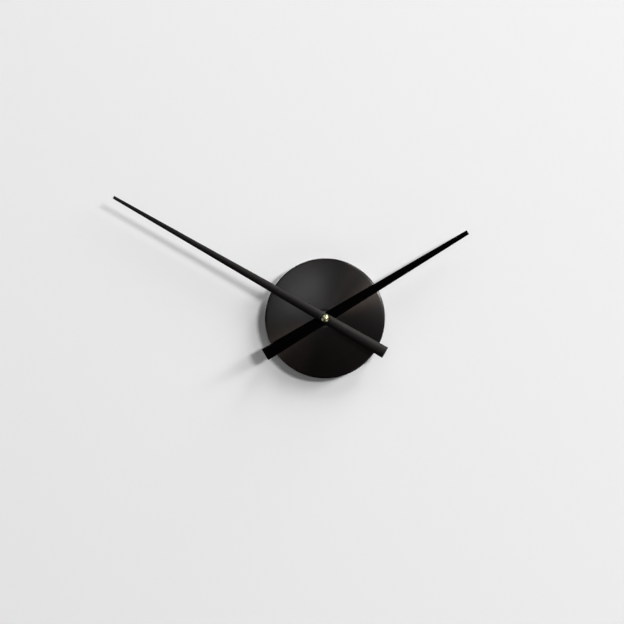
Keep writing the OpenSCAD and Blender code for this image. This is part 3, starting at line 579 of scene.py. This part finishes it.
def makeCapNut():
    # A turned path with a straight knurl. The dome's radius is (radius^2 + dome^2) / (2 * dome), and the
    # skirt dips by knurlDepth * (1 - cos(knurls * angle)) / 2, fading out at both of its ends.
    low, high = dialBox("cap_nut")
    radius, base, top = high[0], low[2], high[2]
    shoulder = base + capNut["skirt"]
    domeRadius = (radius ** 2 + capNut["dome"] ** 2) / (2 * capNut["dome"])
    domeEdge = math.degrees(math.asin((shoulder - top + domeRadius) / domeRadius))
    dome = arc((0, top - domeRadius), domeRadius, domeEdge, 90, 24)
    dome = dome[dome[:, 0] < radius - capNut["domeInset"]]
    thread, chamfer, edge = capNut["thread"], capNut["chamfer"], capNut["edge"]
    skirt = roundedPath([(thread, base + chamfer), (thread + chamfer, base), (radius, base),
                         (radius, shoulder - edge), (radius - edge, shoulder - capNut["step"])],
                        (0, 0, edge, capNut["topEdge"], 0), 5)
    rows = np.linspace(base + 0.5, shoulder - 0.6, capNut["rows"])
    body = np.stack([np.full(len(rows), radius), rows], -1)
    split = np.argmax(skirt[:, 0] >= radius - 1e-6) + 1
    threadEnd = base + capNut["threadDepth"]
    path = np.concatenate([[(0, threadEnd), (thread, threadEnd)], skirt[:split], body, skirt[split:], dome])

    def knurl(angle, radii, height):
        toEnd = np.minimum(height - base - chamfer, shoulder - capNut["domeInset"] - height)
        inside = np.clip(toEnd / capNut["knurlEnd"], 0, 1)
        wave = 0.5 - 0.5 * np.cos(angle * capNut["knurls"])
        onSkirt = radii > radius - capNut["onSkirt"]
        return np.where(onSkirt, radii - capNut["knurlDepth"] * inside * wave, radii), height

    mesh = turned("capNutDome", path, capNut["knurls"] * 8, reshape=knurl, creaseAngle=50)
    addPiece("capNutDome", mesh, "cap_nut")


makeCapNut()
print("hands done")


cell = dict(nub=2.75, nubLength=1.45, shoulder=1.1, crimp=0.25, crimpPlaces=(2.2, 1.7, 1.2),
            flatEnd=(1.2, 0.9), rimDrop=0.3, sealDip=0.5, nubFoot=(0.5, 0.4), ringHeight=0.08,
            ringRadii=(2.4, 3.0), steps=128, baseSteps=96)


def sleeveMesh(path, place, start):
    # the same turned solid, with U equal to x less the sleeve's start, so that the bands fall in place
    mesh = turned("cellSleeve", path, cell["steps"], place)
    layer = mesh.uv_layers[uvName].data
    corners = np.empty(len(mesh.loops), int)
    mesh.loops.foreach_get("vertex_index", corners)
    places = np.empty(len(mesh.vertices) * 3)
    mesh.vertices.foreach_get("co", places)
    uv = np.empty(len(mesh.loops) * 2)
    layer.foreach_get("uv", uv)
    uv[0::2] = places[0::3][corners] - start * millimetre
    layer.foreach_set("uv", uv)
    return mesh


def makeCell():
    # The can, its sleeve and its base are turned solids that lie along x: a path's height becomes x, and
    # its radius is carried round the cell's middle line. The can's path runs from its flat end, past the
    # crimp and the shoulder, to the nub.
    low, high = dialBox("battery_cell")
    middle = (low + high) / 2
    radius = (high[2] - low[2]) / 2
    canEnd = high[0] - cell["nubLength"]

    def lying(points):
        return np.stack([points[..., 2], middle[1] + points[..., 0], middle[2] + points[..., 1]], -1)

    nub, shoulder, crimp = cell["nub"], cell["shoulder"], cell["crimp"]
    crimpFrom, crimpMiddle, crimpTo = cell["crimpPlaces"]
    (endIn, endUp), (footOut, footDip), dip = cell["flatEnd"], cell["nubFoot"], cell["sealDip"]
    can = roundedPath([(0, low[0]), (radius - endIn, low[0]), (radius, low[0] + endUp),
                       (radius, canEnd - crimpFrom), (radius - crimp, canEnd - crimpMiddle),
                       (radius, canEnd - crimpTo), (radius, canEnd - cell["rimDrop"]),
                       (radius - shoulder, canEnd), (radius - shoulder - dip, canEnd - dip),
                       (nub + footOut, canEnd - footDip), (nub, canEnd), (nub, high[0]), (0, high[0])],
                      (0, 0.5, 0.6, 0.4, 0.3, 0.4, 0.25, 0.25, 0.2, 0.2, 0.1, 0.5, 0), 5)
    addPiece("cellCan", turned("cellCan", can, cell["steps"], lying), "battery_cell")
    low, high = dialBox("battery_label")
    outer = (high[2] - low[2]) / 2
    sleeve = roundedPath([(radius, low[0]), (outer, low[0]), (outer, high[0]), (radius, high[0])],
                         (0, 0.07, 0.07, 0), 3)
    addPiece("cellSleeve", sleeveMesh(sleeve, lying, low[0]), "battery_label")
    low, high = dialBox("battery_negative_cap")
    baseRadius = (high[2] - low[2]) / 2
    dish, (ringIn, ringOut) = low[0] + cell["ringHeight"], cell["ringRadii"]
    base = roundedPath([(0, dish), (ringIn, dish), (ringOut, low[0]), (baseRadius, low[0]),
                        (baseRadius, high[0]), (0, high[0])], (0, 0.3, 0.3, 0.12, 0, 0))
    addPiece("cellBase", turned("cellBase", base, cell["baseSteps"], lying), "battery_negative_cap")


winding = dict(turns=48, bore=2.3, wire=0.12, steps=64)


def makeWinding():
    # the wound coil: with six points to a turn of wire, its outside is radius - wire * (1 + cosine) / 2
    low, high = dialBox("coil_winding")
    middle = (low + high) / 2
    turns, bore, wire = winding["turns"], winding["bore"], winding["wire"]
    radius = (high[2] - low[2]) / 2
    height = np.linspace(low[1], high[1], turns * 6 + 1)
    wave = radius - wire * (0.5 + 0.5 * np.cos(np.arange(len(height)) * math.pi / 3))
    path = np.concatenate([np.stack([wave, height], -1), [(bore, high[1]), (bore, low[1])]])

    def upright(points):
        return np.stack([middle[0] + points[..., 1], points[..., 2], middle[2] + points[..., 0]], -1)

    addPiece("woundCoil", turned("woundCoil", path, winding["steps"], upright), "coil_winding")


makeCell()
makeWinding()

brokenEdges = {  # node: name of the finished piece, width of its broken edges
    "case_front": ("caseShell", 0.25),
    "case_back": ("caseLid", 0.15),
    "hanger": ("hangerPlate", 0.2),
    "set_knob": ("setKnobGrip", 0.08),
    "train_plate": ("trainPlateSheet", 0.12),
    "circuit_board": ("circuitBoardSheet", 0.05),
    "coil_bobbin": ("coilBobbinSpool", 0.1),
    "coil_core": ("coilCoreBar", 0.08),
    "stator_upper": ("statorUpperSheet", 0.08),
    "stator_lower": ("statorLowerSheet", 0.08),
    "battery_contact_positive": ("positiveSpring", 0.06),
    "battery_contact_negative": ("negativeSpring", 0.06),
}
for node, (name, edge) in brokenEdges.items():
    easedCopy(name, node, edge)

for node, piece in frame["nodes"].items():
    for materialSlot in piece.material_slots:
        materialSlot.material = finishes[slotOf[node]]
print("movement done")


room = dict(wallTop=2.6, wallFoot=-1.3, sweep=0.5, floorDepth=5.0, halfWidth=4.0, gap=0.0002, paint="#f3f3f3")


def makeBackdrop():
    # A wall that sweeps into a floor, one sheet. It is painted on its front only and shades nothing,
    # so the clock can also be seen and lit from behind.
    bend = arc((-room["sweep"], room["wallFoot"]), room["sweep"], 0, -90, 16) + (room["gap"], 0)
    profile = np.concatenate([[(room["gap"], room["wallTop"])], bend,
                              [(-room["floorDepth"], room["wallFoot"] - room["sweep"])]])
    sides = np.array([-room["halfWidth"], room["halfWidth"]])
    points = np.stack([np.repeat(sides[None], len(profile), 0), np.repeat(profile[:, :1], 2, 1),
                       np.repeat(profile[:, 1:], 2, 1)], -1)
    index = np.arange(len(profile) - 1)
    faces = np.stack([2 * index, 2 * index + 1, 2 * index + 3, 2 * index + 2], -1)
    mesh = bpy.data.meshes.new("backdrop")
    mesh.from_pydata(points.reshape(-1, 3).tolist(), [], faces.tolist())
    mesh.shade_smooth()
    if mesh.polygons[0].normal.y > 0:
        mesh.flip_normals()
    backdrop = bpy.data.objects.new("backdrop", mesh)
    bpy.context.scene.collection.objects.link(backdrop)
    material, tree, shader = newMaterial("palePaint", Base_Color=linear(room["paint"]), Roughness=0.9)
    clear = addNode(tree, "ShaderNodeBsdfTransparent")
    behind = addNode(tree, "ShaderNodeNewGeometry").outputs["Backfacing"]
    mixed = addNode(tree, "ShaderNodeMixShader",
                    {0: behind, 1: shader.outputs["BSDF"], 2: clear.outputs["BSDF"]})
    tree.links.new(mixed.outputs["Shader"], tree.nodes["Material Output"].inputs["Surface"])
    mesh.materials.append(material)
    backdrop.visible_shadow = False
    backdrop.visible_diffuse = False
    backdrop.visible_glossy = False


lights = {  # azimuth and tilt off the wall's normal in degrees, distance and size in metres, power in watts
    "keyLight": dict(azimuth=27, tilt=27, distance=7.0, size=(0.60, 1.25), power=188),
    "longLight": dict(azimuth=29, tilt=58, distance=7.0, size=(1.0, 4.4), power=212),
    "upperFill": dict(azimuth=104, tilt=54, distance=2.4, size=(1.0, 1.0), power=6),
    "lowerFill": dict(azimuth=-48, tilt=62, distance=2.4, size=(1.1, 1.1), power=7),
    "leftFill": dict(azimuth=205, tilt=70, distance=2.4, size=(1.6, 1.6), power=5),
    "crownLight": dict(azimuth=130, tilt=6, distance=2.4, size=(0.4, 0.4), power=0.48),
    "shoulderLight": dict(azimuth=130, tilt=12, distance=2.4, size=(0.5, 0.5), power=0.69),
    "crownLightTop": dict(azimuth=90, tilt=12, distance=2.4, size=(0.3, 0.3), power=0.14),
    "crownLightLeft": dict(azimuth=175, tilt=12, distance=2.4, size=(0.3, 0.3), power=0.16),
    "flankLight": dict(azimuth=60, tilt=74, distance=5.0, size=(1.0, 4.6), power=125),
    "backLight": dict(azimuth=130, tilt=148, distance=2.4, size=(1.6, 1.6), power=55),
    "backFill": dict(azimuth=-20, tilt=130, distance=2.4, size=(1.6, 1.6), power=30),
}


def addLight(name, light):
    # A soft panel that faces the clock. It stands sin(tilt) along the wall, towards the azimuth, and
    # cos(tilt) out of the wall, times the distance; its height lies the way that tilt grows.
    azimuth, tilt = math.radians(light["azimuth"]), math.radians(light["tilt"])
    away = np.array([math.sin(tilt) * math.cos(azimuth), -math.cos(tilt), math.sin(tilt) * math.sin(azimuth)])
    up = np.array([math.cos(tilt) * math.cos(azimuth), math.sin(tilt), math.cos(tilt) * math.sin(azimuth)])
    data = bpy.data.lights.new(name, "AREA")
    data.shape = "RECTANGLE"
    data.size, data.size_y = light["size"]
    data.energy = light["power"]
    panel = bpy.data.objects.new(name, data)
    matrix = np.eye(4)
    matrix[:3, :3] = np.stack([np.cross(up, away), up, away], -1)
    matrix[:3, 3] = away * light["distance"]
    panel.matrix_world = Matrix(matrix.tolist())
    panel.visible_camera = False
    bpy.context.scene.collection.objects.link(panel)


studio = dict(dark=0.01, front=0.03, bright=0.2, azimuth=60, seen="#f4f4f3")


def setWorld():
    # Soft light from all round: its strength is read from how far a direction points along the wall
    # towards the azimuth, from -1 to 1. A direct look past the backdrop meets one pale tone.
    world = bpy.data.worlds.new("studio")
    world.use_nodes = True
    tree = world.node_tree
    direction = addNode(tree, "ShaderNodeTexCoord").outputs["Generated"]
    azimuth = math.radians(studio["azimuth"])
    along = addNode(tree, "ShaderNodeVectorMath",
                    {0: direction, 1: (math.cos(azimuth), 0, math.sin(azimuth))}, operation="DOT_PRODUCT")
    share = addNode(tree, "ShaderNodeMapRange", {"Value": along.outputs["Value"], "From Min": -1.0})
    strength = addNode(tree, "ShaderNodeValToRGB", {"Fac": share.outputs["Result"]})
    strength.color_ramp.elements.new(0.5)
    for element, name in zip(strength.color_ramp.elements, ("dark", "front", "bright")):
        element.color = (studio[name],) * 3 + (1,)
    seen = addNode(tree, "ShaderNodeLightPath").outputs["Is Camera Ray"]
    colour = addNode(tree, "ShaderNodeMixRGB",
                     {"Fac": seen, "Color1": strength.outputs["Color"], "Color2": linear(studio["seen"])})
    tree.links.new(colour.outputs["Color"], tree.nodes["Background"].inputs["Color"])
    bpy.context.scene.world = world


view = dict(distance=2.2, frameWidth=0.567, left=0.0119, above=0.0058, sensor=36.0)


def addCamera():
    # Straight on, left of the hands' axis and above it by these metres. The lens is the sensor's width
    # * distance / frameWidth, the width that fills the frame at the level of the cap nut's seat.
    hands = -dialBox("cap_nut")[0][2] * millimetre
    data = bpy.data.cameras.new("camera")
    data.sensor_width = view["sensor"]
    data.lens = view["sensor"] * view["distance"] / view["frameWidth"]
    data.clip_end = 50
    camera = bpy.data.objects.new("camera", data)
    camera.location = (-view["left"], hands - view["distance"], view["above"])
    camera.rotation_euler = (math.pi / 2, 0, 0)
    bpy.context.scene.collection.objects.link(camera)
    bpy.context.scene.camera = camera


makeBackdrop()
for name, light in lights.items():
    addLight(name, light)
setWorld()
addCamera()
bpy.context.scene.view_settings.view_transform = "Standard"
print("stage done")
